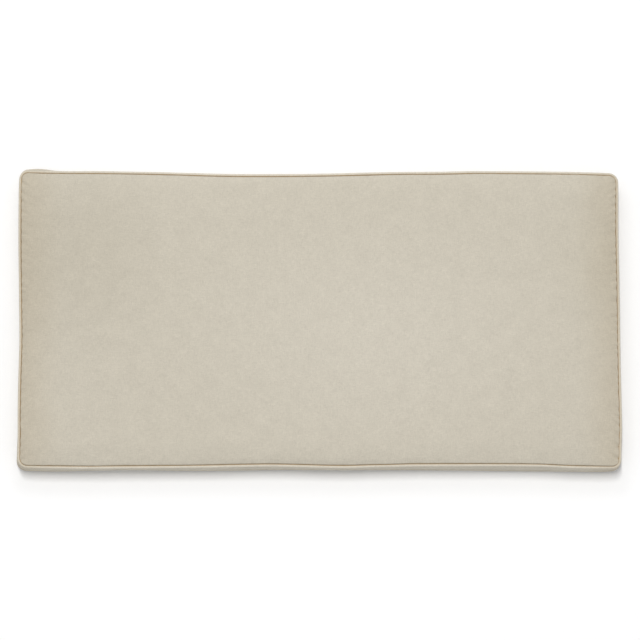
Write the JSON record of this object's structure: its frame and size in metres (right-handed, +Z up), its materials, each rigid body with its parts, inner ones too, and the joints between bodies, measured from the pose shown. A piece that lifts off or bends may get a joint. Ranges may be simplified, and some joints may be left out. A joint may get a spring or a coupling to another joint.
{
  "type": "bench cushion",
  "caption": "Long box-edge seat cushion in beige canvas: crowned face, boxing strip round the sides, piping round both faces, flat underside.",
  "frame": {"origin": "on the floor, below the middle of the cushion's box", "axes": "+X along the long side, +Y from the front edge to the back edge, +Z up out of the face; the cushion lies on its back"},
  "size_m": [1.207, 0.6096, 0.0689],
  "materials": {
    "canvas": "matt beige canvas in a fine plain weave",
    "piping": "the same canvas, cut on the bias and drawn tight over a cord"
  },
  "bodies": {
    "root": {"cushion": "canvas", "piping_top": "piping", "piping_bottom": "piping"}
  },
  "joints": []
}
